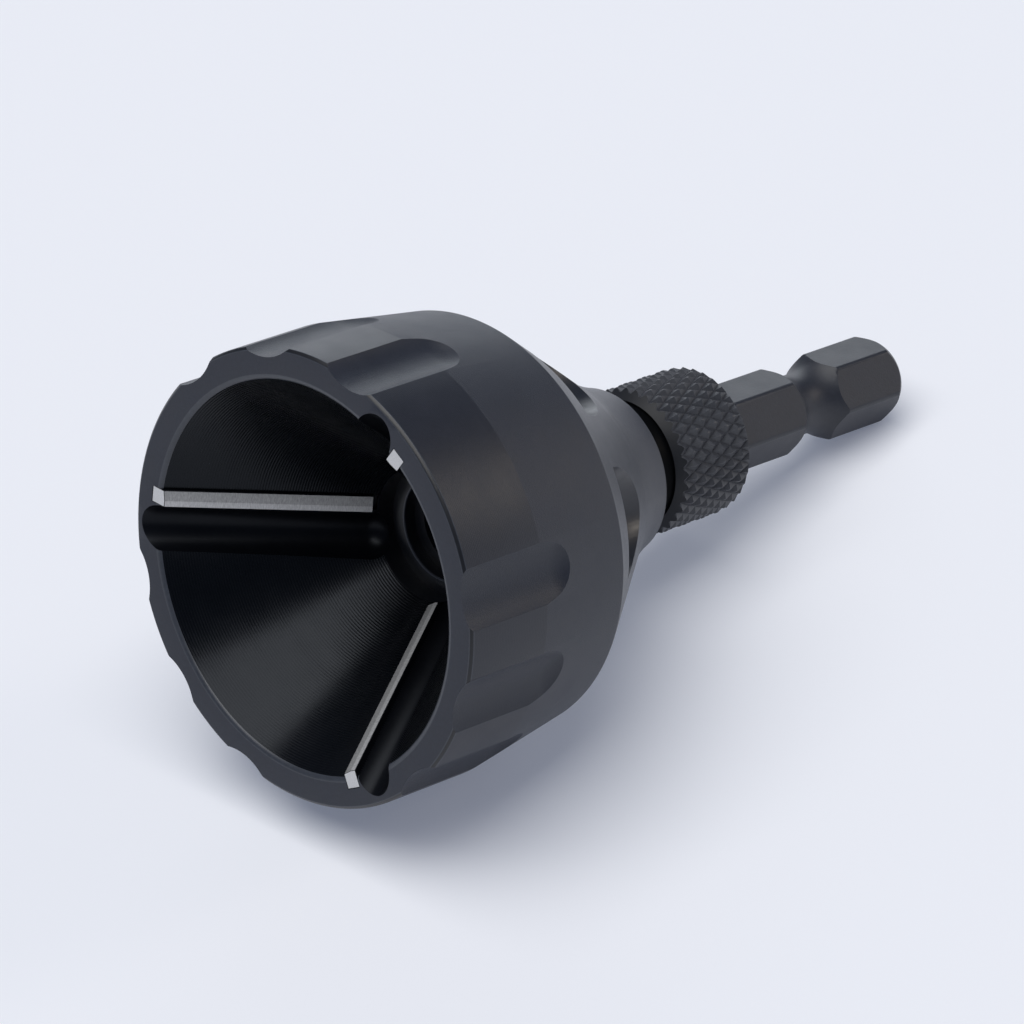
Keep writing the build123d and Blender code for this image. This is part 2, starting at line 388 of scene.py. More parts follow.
def blackened(name, tone=COAT_TONE, rough=0.45, spread=0.08, grain=0.0, rings=0.0, specular=0.5,
              sheen=0.0, gleam=(1, 1, 1), lined=0.0, size=GRAIN_SIZE):
    """Blackened steel. grain and rings are bump depths in metres; spread varies the roughness.

    sheen is the dusty light of a blasted surface seen along itself, gleam tints reflections, lined
    makes the bottoms of the rings duller than their tops, and size is the width of the blast grain.
    """
    material = bpy.data.materials.new(name)
    material.use_nodes = True
    tree = material.node_tree
    shader = tree.nodes["Principled BSDF"]
    shader.inputs["Metallic"].default_value = 0.0
    shader.inputs["Specular IOR Level"].default_value = specular
    shader.inputs["Specular Tint"].default_value = (*gleam, 1)
    shader.inputs["Sheen Weight"].default_value = sheen
    shader.inputs["Sheen Roughness"].default_value = SHEEN_ROUGHNESS
    shader.inputs["Sheen Tint"].default_value = SHEEN_TINT
    grains = use_group(tree, grain_group, Size=size)
    lines = use_group(tree, ring_group, Pitch=RING_PITCH)
    cloud = noise(tree, tool_coordinates(tree), CLOUD_SIZE, detail=5.0, rough=0.62)
    share = maths(tree, "ADD", maths(tree, "MULTIPLY", cloud, CLOUD_SHARE),
                  maths(tree, "MULTIPLY", grains.outputs["Speckle"], 1 - CLOUD_SHARE))
    two_tones(tree, share, [(1 - TONE_SWING) * part for part in tone],
              [(1 + TONE_SWING) * part for part in tone], shader)
    loose = maths(tree, "MULTIPLY", maths(tree, "SUBTRACT", cloud, NOISE_MIDDLE), spread / NOISE_MIDDLE)
    duller = maths(tree, "MULTIPLY", lines.outputs["Height"], -lined)
    tree.links.new(maths(tree, "ADD", maths(tree, "ADD", loose, duller), rough),
                   shader.inputs["Roughness"])
    height = maths(tree, "ADD", maths(tree, "MULTIPLY", grains.outputs["Height"], grain),
                   maths(tree, "MULTIPLY", lines.outputs["Height"], rings))
    bump = tree.nodes.new("ShaderNodeBump")
    bump.inputs["Distance"].default_value = 1.0
    tree.links.new(height, bump.inputs["Height"])
    tree.links.new(bump.outputs["Normal"], shader.inputs["Normal"])
    return material


print("the coat's tone swings by", TONE_SWING, "over patches of", CLOUD_SIZE, "m")

# %% Finishes of the cup
MOUTH_TONE = (0.0014, 0.0019, 0.003)
# A tone darker than the coat: painted shade on the rim's chamfer and in the bored recess.
PAINTED_SHADE_TONE = (0.006, 0.007, 0.01)
COOL_GLEAM = (0.84, 0.9, 1.0)

front_finish = blackened("blackened, faced front", rough=0.5, grain=0.000008)
rim_finish_with_painted_shade = blackened("blackened, turned rim with painted shade", tone=PAINTED_SHADE_TONE, rough=0.36, grain=0.000004)
band_finish = blackened("blackened, turned band", tone=(0.014, 0.0165, 0.0255), rough=0.41,
                        grain=0.000013, rings=0.000002, specular=0.42, size=FINE_GRAIN)
taper_finish = blackened("blackened, blasted taper", rough=0.48, grain=0.000032, sheen=0.1,
                         size=FINE_GRAIN)
rear_finish = blackened("blackened, satin rear", rough=0.38, grain=0.00002, sheen=0.04,
                        size=FINE_GRAIN)
milled_finish = blackened("blackened, milled flutes", rough=0.42, grain=0.000024, specular=0.42,
                          size=FINE_GRAIN)
scallop_finish = blackened("blackened, plunged scallops", tone=(0.011, 0.013, 0.02), rough=0.36,
                           spread=0.3, grain=0.000008)
# The edges are lighter than the coat: partly wear, partly a painted highlight.
edge_finish_wear_and_painted_highlight = blackened("blackened, worn edges and painted highlight", tone=(0.036, 0.041, 0.053), rough=0.35)
cone_finish = blackened("blackened, turned mouth", tone=MOUTH_TONE, rough=0.26, rings=0.000005,
                        specular=0.2, gleam=COOL_GLEAM, lined=0.12)
groove_finish = blackened("blackened, milled grooves", tone=(0.0022, 0.0026, 0.004), rough=0.34,
                          specular=0.16, gleam=COOL_GLEAM)
bore_finish_with_painted_shade = blackened("blackened, bored recess with painted shade", tone=PAINTED_SHADE_TONE, rough=0.3, rings=0.000003,
                        specular=0.4)

(FRONT, MOUTH, BORE, BAND, TAPER, REAR, FLUTE, SCALLOP, GROOVE, EDGE, RIM) = range(11)
cup_finishes = [front_finish, cone_finish, bore_finish_with_painted_shade, band_finish, taper_finish, rear_finish,
                milled_finish, scallop_finish, groove_finish, edge_finish_wear_and_painted_highlight, rim_finish_with_painted_shade]
print("cup finishes", [finish.name for finish in cup_finishes])

# %% Finishes of the collar and the shank
knurl_finish = blackened("blackened, knurled", tone=(0.034, 0.037, 0.046), rough=0.43, grain=0.000022)
# The turned chamfer is smooth, and its darker tone is also painted shade from the gap in front of it.
chamfer_finish_with_painted_shade = blackened("blackened, turned chamfer with painted shade", tone=(0.009, 0.0105, 0.014), rough=0.45)
# The boss's near-black tone is painted shade of the narrow gap between the neck and the knurl.
painted_shade_boss_finish = blackened("blackened, boss with painted shade", tone=(0.0016, 0.002, 0.0026), rough=0.5,
                        specular=0.05)
shank_finish = blackened("phosphated, drawn bar", tone=(0.016, 0.0185, 0.0275), rough=0.46,
                         grain=0.00001)
thread_finish = blackened("blackened, thread", tone=(0.012, 0.012, 0.014), rough=0.35)

# The faces in the gap in front of the knurl carry the painted shade.
(KNURLED, PAINTED_SHADE_FACES, CHAMFERED) = range(3)
collar_finishes = [knurl_finish, painted_shade_boss_finish, chamfer_finish_with_painted_shade]
(DRAWN, THREADED) = range(2)
shank_finishes = [shank_finish, thread_finish]
print("other finishes", [finish.name for finish in collar_finishes + shank_finishes])

# %% [markdown]
# The strips are ground carbide. Only the faces that work are ground bright: a narrow land along the
# cutting edge, the relief behind it, which shows coarser marks across it, and the end at the cup's
# front. The sides stay black, and take the grooves' near-black tone, which also paints the shade
# that falls on them. One function makes the three tones of grey.

# %% Ground carbide
GRIND_PITCH = 0.00009
GRIND_STRETCH = 4.0
CARBIDE_METALLIC = 0.4
CARBIDE_ROUGHNESS = 0.38
CARBIDE_ROUGH_SWING = 0.2
COOL_SHADOW = 1.02
WARM_LIGHT = 0.99
LAND_GREYS = (0.26, 0.8)
RELIEF_GREYS = (0.1, 0.62)
END_GREYS = (0.5, 0.8)


def ground_carbide(name, greys, grind_angle=None):
    """Ground carbide between two greys. With an angle, the marks run across a strip at that angle."""
    material = bpy.data.materials.new(name)
    material.use_nodes = True
    tree = material.node_tree
    shader = tree.nodes["Principled BSDF"]
    shader.inputs["Metallic"].default_value = CARBIDE_METALLIC
    point = tool_coordinates(tree)
    if grind_angle is not None:
        turn = tree.nodes.new("ShaderNodeMapping")
        turn.vector_type = "TEXTURE"
        turn.inputs["Rotation"].default_value = (0, 0, math.radians(grind_angle))
        turn.inputs["Scale"].default_value = (1, GRIND_STRETCH, 1)
        tree.links.new(point, turn.inputs["Vector"])
        point = turn.outputs["Vector"]
    grind = noise(tree, point, GRIND_PITCH, detail=3.0, rough=0.7)
    dark, bright = greys
    two_tones(tree, grind, (dark, dark, dark * COOL_SHADOW), (bright, bright, bright * WARM_LIGHT), shader)
    swing = maths(tree, "MULTIPLY", grind, CARBIDE_ROUGH_SWING)
    tree.links.new(maths(tree, "ADD", swing, CARBIDE_ROUGHNESS), shader.inputs["Roughness"])
    return material


end_finish = ground_carbide("ground carbide, end", END_GREYS)
print("carbide", end_finish.name)

# %% [markdown]
# The cup is turned first. Its outline runs along the outside from the front ring to the neck's end
# and back along the inside. The long hollow behind the cup is an arc with a radius of 15 mm, which
# leaves the straight rear cone smoothly and still slopes a little where it reaches the neck's end.
# Rounding one corner of the outline draws it.

# %% The hollow behind the cup
FRONT_RADIUS = 18.0
BAND_LENGTH = 8.0
EDGE_Z = 17.8
TAPER_ANGLE = math.radians(8.1)
EDGE_RADIUS = FRONT_RADIUS - (EDGE_Z - BAND_LENGTH) * math.tan(TAPER_ANGLE)
NECK_RADIUS = 6.82
NECK_BREAK = 0.15
NECK_SLOPE = math.radians(14.5)
NECK_FILLET = 15.0
NECK_END = 33.3


def fillet_corner():
    """Where the rear cone and the neck's slope would meet, and how far the fillet reaches from it."""
    centre = Vector((NECK_RADIUS + NECK_FILLET * math.cos(NECK_SLOPE),
                     NECK_END - NECK_BREAK + NECK_FILLET * math.sin(NECK_SLOPE)))
    edge = Vector((EDGE_RADIUS, EDGE_Z))
    away = edge - centre
    touch = math.atan2(away.x, away.y) + math.acos(NECK_FILLET / away.length)
    start = centre + NECK_FILLET * Vector((math.sin(touch), math.cos(touch)))
    end = Vector((NECK_RADIUS, NECK_END - NECK_BREAK))
    half = (start - end).length / 2
    reach = half / math.sqrt(1 - (half / NECK_FILLET) ** 2)
    middle = (start + end) / 2 - centre
    return centre + middle.normalized() * math.hypot(NECK_FILLET, reach), reach


print("fillet corner and reach", fillet_corner())

# %% The cup off the lathe
MOUTH_RADIUS = 15.6
MOUTH_BREAK = 0.26
CONE_DEPTH = 13.4
RECESS_RADIUS = 5.3
RECESS_FLOOR = 15.2
COUNTERBORE_RADIUS = 4.1
COUNTERBORE_FLOOR = 16.35
COUNTERBORE_BREAK = 0.14
RIM_CHAMFER = 0.25
RIM_WEAR = 0.05
EDGE_BREAK = 0.08
HOLE_RADIUS = 3.05
BREAK_SEGMENTS = 2
HOLLOW_SEGMENTS = 14
NEARLY_WHOLE = 0.999
CUP_STEPS = 216


def cup_blank():
    """The cup as turned: each row is a corner's radius and z, its break and the break's segments."""
    corner, reach = fillet_corner()
    rows = [
        (FRONT_RADIUS - RIM_CHAMFER, 0, RIM_WEAR, 1),
        (FRONT_RADIUS, RIM_CHAMFER, RIM_WEAR, 1),
        (FRONT_RADIUS, BAND_LENGTH, 0, 0),
        (EDGE_RADIUS, EDGE_Z, EDGE_BREAK, BREAK_SEGMENTS),
        (*corner, reach * NEARLY_WHOLE, HOLLOW_SEGMENTS),
        (NECK_RADIUS, NECK_END - NECK_BREAK, 0, 0),
        (NECK_RADIUS - NECK_BREAK, NECK_END, 0, 0),
        (HOLE_RADIUS, NECK_END, 0, 0),
        (HOLE_RADIUS, COUNTERBORE_FLOOR, 0, 0),
        (COUNTERBORE_RADIUS, COUNTERBORE_FLOOR, 0, 0),
        (COUNTERBORE_RADIUS, RECESS_FLOOR, COUNTERBORE_BREAK, BREAK_SEGMENTS),
        (RECESS_RADIUS, RECESS_FLOOR, 0, 0),
        (RECESS_RADIUS, CONE_DEPTH, 0, 0),
        (MOUTH_RADIUS, 0, MOUTH_BREAK, BREAK_SEGMENTS),
    ]
    outline = outline_mesh([(radius, z) for radius, z, *_ in rows])
    corners = outline.verts[:]
    for vert, (*_, offset, segments) in reversed(list(zip(corners, rows))):
        if segments:
            round_corner(outline, vert, offset, segments)
    return spin_round(outline, CUP_STEPS)


print("corners on the lathe are broken by", RIM_WEAR, "to", MOUTH_BREAK, "mm")

# %% The finish of each turned face
TOUCH = 1e-4
UPRIGHT = 1e-6
NEAR = 0.1


def cup_region(face):
    """The finish number of a face of the blank, from where it lies and which way it faces."""
    centre = face.calc_center_median()
    radius = math.hypot(centre.x, centre.y)
    inward = face.normal.x * centre.x + face.normal.y * centre.y < -UPRIGHT
    down_step = centre.z - RECESS_FLOOR
    if centre.z < TOUCH:
        return FRONT
    # The counterbore's break takes the lighter edge tone as a painted highlight.
    if radius < COUNTERBORE_RADIUS + COUNTERBORE_BREAK and 0 < down_step < COUNTERBORE_BREAK:
        return EDGE
    if centre.z > CONE_DEPTH - TOUCH and radius < RECESS_RADIUS + NEAR and (inward or centre.z < EDGE_Z):
        return BORE
    if inward:
        return MOUTH if centre.z > MOUTH_BREAK else EDGE
    if centre.z < RIM_CHAMFER + RIM_WEAR:
        worn = centre.z < RIM_WEAR or centre.z > RIM_CHAMFER - RIM_WEAR
        return EDGE if worn else RIM
    if centre.z < BAND_LENGTH:
        return BAND
    if centre.z < EDGE_Z - EDGE_BREAK:
        return TAPER
    if centre.z < EDGE_Z + EDGE_BREAK:
        return EDGE
    return REAR


print("the cup has", len(cup_finishes), "finishes")

# %% [markdown]
# Next the cup is milled. Nine flutes for the fingers are run in from the front with a ball-ended
# cutter, and six round scallops are plunged into the rear cone from behind with a flat-ended one.
# Inside, a slot for each strip and a chip groove beside it run down the cone. Each cutter carries a
# finish number, and the Boolean hands it on to the faces that the cutter leaves. Everything repeats
# three times round the cup.

# %% Cutters
OVERRUN = 5.0
CUTTER_STEPS = 72
BALL_SEGMENTS = 14


def round_cutter(radius, start, length, ball):
    """A round cutter along z; a ball end goes half a ball past its length."""
    end = length + (radius if ball else 0)
    outline = outline_mesh([(0, start), (radius, start), (radius, end), (0, end)], closed=False)
    if ball:
        _, _, end_corner, _ = outline.verts
        round_corner(outline, end_corner, radius * NEARLY_WHOLE, BALL_SEGMENTS)
    return spin_round(outline, CUTTER_STEPS)


def turned_to(mesh, angle):
    """Turns a mesh about the tool's axis."""
    mesh.transform(Matrix.Rotation(math.radians(angle), 4, "Z"))
    return mesh


def block(low, high):
    """A box between two corners."""
    mesh = bmesh.new()
    bmesh.ops.create_cube(mesh, size=1)
    low, high = Vector(low), Vector(high)
    bmesh.ops.scale(mesh, verts=mesh.verts, vec=high - low)
    bmesh.ops.translate(mesh, verts=mesh.verts, vec=(high + low) / 2)
    return mesh


print("round cutters have", CUTTER_STEPS, "sides")

# %% Flutes and scallops
THIRD = 120.0
FLUTE_RADIUS = 4.5
FLUTE_DEPTH = 0.85
FLUTE_LENGTH = 9.3
FLUTE_PHASE = 33.0
FLUTE_STEP = 28.0
FLUTE_ANGLES = [FLUTE_PHASE + FLUTE_STEP * beside + THIRD * third
                for third in range(3) for beside in (-1, 0, 1)]
SCALLOP_RADIUS = 4.5
SCALLOP_RING = 15.2
SCALLOP_START = EDGE_Z + 2.6
SCALLOP_PHASE = 337.4
SCALLOP_APART = 51.9
SCALLOP_ANGLES = [SCALLOP_PHASE + SCALLOP_APART / 2 * side + THIRD * third
                  for third in range(3) for side in (-1, 1)]


def flute_cutters():
    cutters = []
    for angle in FLUTE_ANGLES:
        cutter = round_cutter(FLUTE_RADIUS, -OVERRUN, FLUTE_LENGTH, ball=True)
        cutter.transform(Matrix.Translation((FRONT_RADIUS - FLUTE_DEPTH + FLUTE_RADIUS, 0, 0)))
        cutters.append(turned_to(finish_number(cutter, FLUTE), angle))
    return cutters


def scallop_cutters():
    cutters = []
    for angle in SCALLOP_ANGLES:
        cutter = round_cutter(SCALLOP_RADIUS, SCALLOP_START, NECK_END, ball=False)
        cutter.transform(Matrix.Translation((SCALLOP_RING, 0, 0)))
        cutters.append(turned_to(finish_number(cutter, SCALLOP), angle))
    return cutters


print("flutes", len(FLUTE_ANGLES), "scallops", len(SCALLOP_ANGLES))

# %% Slots and grooves
STRIP_PHASE = 82.0
STRIP_ANGLES = [STRIP_PHASE + THIRD * third for third in range(3)]
STRIP_WIDTH = 1.3
STRIP_HEIGHT = 1.05
STRIP_PROUD = 0.48
STRIP_FILM = 0.02
GROOVE_RADIUS = 1.9
GROOVE_DEPTH = 1.27
GROOVE_END_GAP = 0.4
LEAN = math.atan2(MOUTH_RADIUS - RECESS_RADIUS, CONE_DEPTH)
CONE_SLANT = math.hypot(MOUTH_RADIUS - RECESS_RADIUS, CONE_DEPTH)


def on_the_cone(angle):
    """Carries (height above the cone, sideways, distance along it from the rim) to the tool.

    Sideways is counted from a cutting edge: the strip lies on its minus side, the groove on its plus.
    """
    height = Vector((-math.cos(LEAN), 0, -math.sin(LEAN)))
    along = Vector((-math.sin(LEAN), 0, math.cos(LEAN)))
    side = along.cross(height)
    turn = Matrix((height, side, along)).transposed().to_4x4()
    return Matrix.Rotation(math.radians(angle), 4, "Z") @ Matrix.Translation((MOUTH_RADIUS, 0, 0)) @ turn


def slot_cutters():
    cutters = []
    for angle in STRIP_ANGLES:
        cutter = block((STRIP_PROUD - STRIP_HEIGHT - STRIP_FILM, -STRIP_WIDTH - STRIP_FILM, -OVERRUN),
                       (OVERRUN, STRIP_FILM, CONE_SLANT))
        cutter.transform(on_the_cone(angle))
        cutters.append(finish_number(cutter, GROOVE))
    return cutters


def groove_cutters():
    cutters = []
    for angle in STRIP_ANGLES:
        cutter = round_cutter(GROOVE_RADIUS, -OVERRUN, CONE_SLANT - GROOVE_END_GAP, ball=True)
        place_beside = Matrix.Translation((GROOVE_RADIUS - GROOVE_DEPTH, GROOVE_RADIUS, 0))
        cutter.transform(on_the_cone(angle) @ place_beside)
        cutters.append(finish_number(cutter, GROOVE))
    return cutters


print("the cone leans", round(math.degrees(LEAN), 1), "degrees and is", round(CONE_SLANT, 1), "mm long")

# %% The cup milled
CUP_EDGE = 0.07
CUP_SHARP_ANGLE = 12


def make_cup():
    cup = cup_blank()
    for face in cup.faces:
        face.material_index = cup_region(face)
    for cutters in (flute_cutters() + scallop_cutters(), slot_cutters(), groove_cutters()):
        cup = boolean(cup, join(cutters), finishes=cup_finishes)
    cut = (FLUTE, SCALLOP, GROOVE)
    edges = []
    for edge in sharp_edges(cup, CUP_SHARP_ANGLE):
        first, second = [face.material_index for face in edge.link_faces]
        if (first in cut) != (second in cut) and EDGE not in (first, second):
            edges.append(edge)
    before = len(cup.faces)
    # The bevels take the lighter edge tone: wear on the outer edges, and a painted highlight.
    for face in break_edges(cup, edges, CUP_EDGE):
        face.material_index = EDGE
    print("cup faces", before, "then", len(cup.faces))
    return place(cup, "cup", cup_finishes, "cutter", ["cutter_body"])


cup = make_cup()

# %% [markdown]
# Each strip is a bar of carbide, cut off square with the cup's front, so its own end is a slanted face
# flush with the ring. Its cutting edge lies on a plane through the tool's axis. Behind a narrow land
# the top falls away by a few degrees, so that only the edge touches the work. Two planes cut the bar
# to that shape, and then its edges are broken very slightly.

# %% Shaping a strip
STRIP_RELIEF = math.radians(9)
SAME_WAY = math.cos(STRIP_RELIEF / 3)
(SIDE, LAND, RELIEF, END) = range(4)


def cut_off(mesh, point, outward):
    """Cuts away what lies outside a plane, and closes the mesh there."""
    cut = bmesh.ops.bisect_plane(
        mesh, geom=mesh.verts[:] + mesh.edges[:] + mesh.faces[:], plane_co=point, plane_no=outward,
        clear_outer=True,
    )
    rim = [item for item in cut["geom_cut"] if isinstance(item, bmesh.types.BMEdge)]
    bmesh.ops.edgeloop_fill(mesh, edges=rim)


def strip_region(face, upward, relief):
    """Which ground or black finish a face of a strip has, from the way that it faces."""
    if face.normal.z < -math.cos(STRIP_RELIEF):
        return END
    if face.normal.dot(upward) > SAME_WAY:
        return LAND
    if face.normal.dot(relief) > SAME_WAY:
        return RELIEF
    return SIDE


print("the strips are relieved by", round(math.degrees(STRIP_RELIEF)), "degrees")

# %% The strips
STRIP_END_GAP = 0.4
STRIP_FRONT = 0.02
STRIP_EDGE = 0.03
STRIP_LAND = 0.5
STRIP_SHARP_ANGLE = 30


def make_strip(number, angle):
    bar = block((STRIP_PROUD - STRIP_HEIGHT, -STRIP_WIDTH, -OVERRUN),
                (STRIP_PROUD, 0, CONE_SLANT - STRIP_END_GAP))
    relief = Vector((math.cos(STRIP_RELIEF), -math.sin(STRIP_RELIEF), 0))
    cut_off(bar, (STRIP_PROUD, -STRIP_LAND, 0), relief)
    laid = on_the_cone(angle)
    bar.transform(laid)
    cut_off(bar, (0, 0, STRIP_FRONT), (0, 0, -1))
    bmesh.ops.recalc_face_normals(bar, faces=bar.faces)
    break_edges(bar, sharp_edges(bar, STRIP_SHARP_ANGLE), STRIP_EDGE, segments=1)
    turn = laid.to_3x3()
    for face in bar.faces:
        face.material_index = strip_region(face, turn @ Vector((1, 0, 0)), turn @ relief)
    finishes = [
        # The sides take the grooves' near-black finish: blackened, and darker still as painted shade.
        groove_finish,
        ground_carbide(f"ground carbide, land {number}", LAND_GREYS, angle),
        ground_carbide(f"ground carbide, relief {number}", RELIEF_GREYS, angle),
        end_finish,
    ]
    return place(bar, f"strip_{number}", finishes, "cutter", [f"blade_{number}"])


strips = [make_strip(number, angle) for number, angle in enumerate(STRIP_ANGLES, start=1)]

# %% [markdown]
# The collar's knurl is a field of small pyramids. One diamond face is copied over a flat sheet, each
# diamond is inset and pushed up, and the sheet is rolled round the collar. The rolled block is then
# trimmed by the turned form of the collar, whose chamfers clip the outer diamonds, as on the real
# one. The front chamfer is long and smooth, so it gets a finish of its own, darker than the knurl's
# as painted shade from the narrow gap in front of it. The plain boss that reaches forward to the neck
# is painted near black, as painted shade of that gap.

# %% The knurl as a flat sheet
KNURL_ROOT = 5.72
KNURL_CREST = 6.05
KNURL_STARTS = 35
KNURL_ROW = 1.07
KNURL_TOP_SHARE = 0.86
DIAMOND_SLIMNESS = 0.89
SPARE_ROWS = 3
BOSS_LENGTH = 2.65
KNURL_START = NECK_END + BOSS_LENGTH
COLLAR_END = 44.09


def knurl_sheet():
    """A flat sheet of raised diamonds: x goes round the collar, y goes along it, z is the height."""
    across = 2 * math.pi * KNURL_ROOT / KNURL_STARTS
    rows = math.ceil((COLLAR_END - KNURL_START) / KNURL_ROW) + SPARE_ROWS
    sheet = bmesh.new()
    bmesh.ops.create_circle(sheet, cap_ends=True, segments=4, radius=1)
    bmesh.ops.scale(sheet, verts=sheet.verts, vec=(across / 2, KNURL_ROW, 1))
    first = sheet.verts[:] + sheet.edges[:] + sheet.faces[:]
    for row in range(rows):
        for column in range(KNURL_STARTS):
            if row == 0 and column == 0:
                continue
            copied = bmesh.ops.duplicate(sheet, geom=first)["geom"]
            corners = [item for item in copied if isinstance(item, bmesh.types.BMVert)]
            shift = (across * (column + 0.5 * (row % 2)), KNURL_ROW * row, 0)
            bmesh.ops.translate(sheet, verts=corners, vec=shift)
    bmesh.ops.remove_doubles(sheet, verts=sheet.verts, dist=TOUCH)
    bmesh.ops.inset_individual(
        sheet, faces=sheet.faces, thickness=KNURL_TOP_SHARE * across / 2 * DIAMOND_SLIMNESS,
        depth=KNURL_CREST - KNURL_ROOT, use_even_offset=True,
    )
    print("knurl rows", rows, "diamonds", rows * KNURL_STARTS)
    return sheet


# %% Rolling the sheet
SEAM_MERGE = 1e-3
ROWS_BEFORE_START = 1.5


def rolled(sheet):
    """Rolls the sheet round the axis: x becomes the angle, y the place along it, z the height."""
    for vert in sheet.verts:
        angle = vert.co.x / KNURL_ROOT
        radius = KNURL_ROOT + vert.co.z
        vert.co = (radius * math.cos(angle), radius * math.sin(angle),
                   KNURL_START - ROWS_BEFORE_START * KNURL_ROW + vert.co.y)
    bmesh.ops.remove_doubles(sheet, verts=sheet.verts, dist=SEAM_MERGE)
    return sheet


def closed_ends(mesh, inner):
    """Carries both open rims in to an inner radius and closes them there."""
    rim = [edge for edge in mesh.edges if len(edge.link_faces) == 1]
    grown = bmesh.ops.extrude_edge_only(mesh, edges=rim)["geom"]
    verts = [item for item in grown if isinstance(item, bmesh.types.BMVert)]
    for vert in verts:
        shrink = inner / math.hypot(vert.co.x, vert.co.y)
        vert.co.x *= shrink
        vert.co.y *= shrink
    edges = [edge for edge in mesh.edges if len(edge.link_faces) == 1]
    bmesh.ops.holes_fill(mesh, edges=edges, sides=0)
    bmesh.ops.recalc_face_normals(mesh, faces=mesh.faces)
    return mesh


print("one diamond takes", round(360 / KNURL_STARTS, 1), "degrees of the collar")

# %% The collar
KNURL_CORE = 1.0
COLLAR_FRONT = 0.6
COLLAR_FACE = 5.2
COLLAR_REAR = 0.5
COLLAR_EDGE = 0.12
COLLAR_STEPS = 140
BOSS_RADIUS = 5.0
BOSS_ROOT = 0.2


def collar_region(face):
    """The finish number of a face of the collar's turned form, from how far back it lies."""
    depth = face.calc_center_median().z - KNURL_START
    if depth < TOUCH:
        return PAINTED_SHADE_FACES
    return CHAMFERED if depth < COLLAR_FRONT else KNURLED


def make_collar():
    knurl = finish_number(closed_ends(rolled(knurl_sheet()), KNURL_CORE), KNURLED)
    envelope = turned([
        (HOLE_RADIUS, KNURL_START),
        (COLLAR_FACE, KNURL_START),
        (KNURL_CREST, KNURL_START + COLLAR_FRONT),
        (KNURL_CREST, COLLAR_END - COLLAR_REAR),
        (KNURL_CREST - COLLAR_REAR, COLLAR_END),
        (HOLE_RADIUS, COLLAR_END),
    ], COLLAR_STEPS)
    for face in envelope.faces:
        face.material_index = collar_region(face)
    ring = boolean(knurl, envelope, "INTERSECT", finishes=collar_finishes)
    boss = turned([
        (HOLE_RADIUS, NECK_END),
        (BOSS_RADIUS - COLLAR_EDGE, NECK_END),
        (BOSS_RADIUS, NECK_END + COLLAR_EDGE),
        (BOSS_RADIUS, KNURL_START + BOSS_ROOT),
        (HOLE_RADIUS, KNURL_START + BOSS_ROOT),
    ], COLLAR_STEPS)
    # The boss takes the near-black finish: painted shade of the gap between the neck and the knurl.
    collar = boolean(ring, finish_number(boss, PAINTED_SHADE_FACES), "UNION", finishes=collar_finishes)
    return place(collar, "collar", collar_finishes, "collar", ["lock_collar"])


collar = make_collar()

# %% [markdown]
# The shank is a length of hex bar. Its corners are rounded a little, its front is turned down to the
# stud, and a ring groove near the end takes the ball of a quick-change chuck. The stud has a real
# thread: one pitch of its outline is spun round and lifted by one pitch a turn. The hex starts a hair
# behind the place that the collar reaches at the end of its travel.

# %% The stud's thread
THREAD_RADIUS = 3.0
THREAD_PITCH = 1.0
THREAD_DEPTH = 0.58
THREAD_ROOT = THREAD_RADIUS - THREAD_DEPTH
THREAD_FORM = [(0.0, 0.0), (0.07, 0.0), (0.44, 1.0), (0.56, 1.0), (0.93, 0.0), (1.0, 0.0)]
THREAD_CORE = 0.5
TURN_STEPS = 48
SPARE_TURNS = 2
STUD_START = NECK_END - 11.8
STUD_POINT = 0.7
STUD_POINT_INSIDE_ROOT = 0.1
STUD_ROOT = 0.5
STUD_STEPS = 96
HEX_START = 45.91


def make_stud():
    turns = math.ceil((HEX_START - STUD_START) / THREAD_PITCH) + SPARE_TURNS
    outline = outline_mesh(
        [(THREAD_ROOT + rise * THREAD_DEPTH, STUD_START - THREAD_PITCH + share * THREAD_PITCH)
         for share, rise in THREAD_FORM], closed=False,
    )
    bmesh.ops.spin(
        outline, geom=outline.verts[:] + outline.edges[:], cent=(0, 0, 0), axis=(0, 0, 1),
        dvec=(0, 0, THREAD_PITCH / TURN_STEPS), angle=2 * math.pi * turns, steps=turns * TURN_STEPS,
        use_merge=False,
    )
    bmesh.ops.remove_doubles(outline, verts=outline.verts, dist=TOUCH)
    thread = closed_ends(outline, THREAD_CORE)
    envelope = turned([
        (0.0, STUD_START),
        (THREAD_ROOT - STUD_POINT_INSIDE_ROOT, STUD_START),
        (THREAD_RADIUS, STUD_START + STUD_POINT),
        (THREAD_RADIUS, HEX_START + STUD_ROOT),
        (0.0, HEX_START + STUD_ROOT),
    ], STUD_STEPS)
    print("thread turns", turns)
    return boolean(thread, envelope, "INTERSECT")


# %% The hex bar
HEX_SIDES = 6
HEX_FLAT = 6.35 / 2
HEX_PHASE = 110.0
HEX_ROUND = 0.246
HEX_ROUND_SEGMENTS = 5
SHANK_END = 65.34
BAR_SPARE = 1


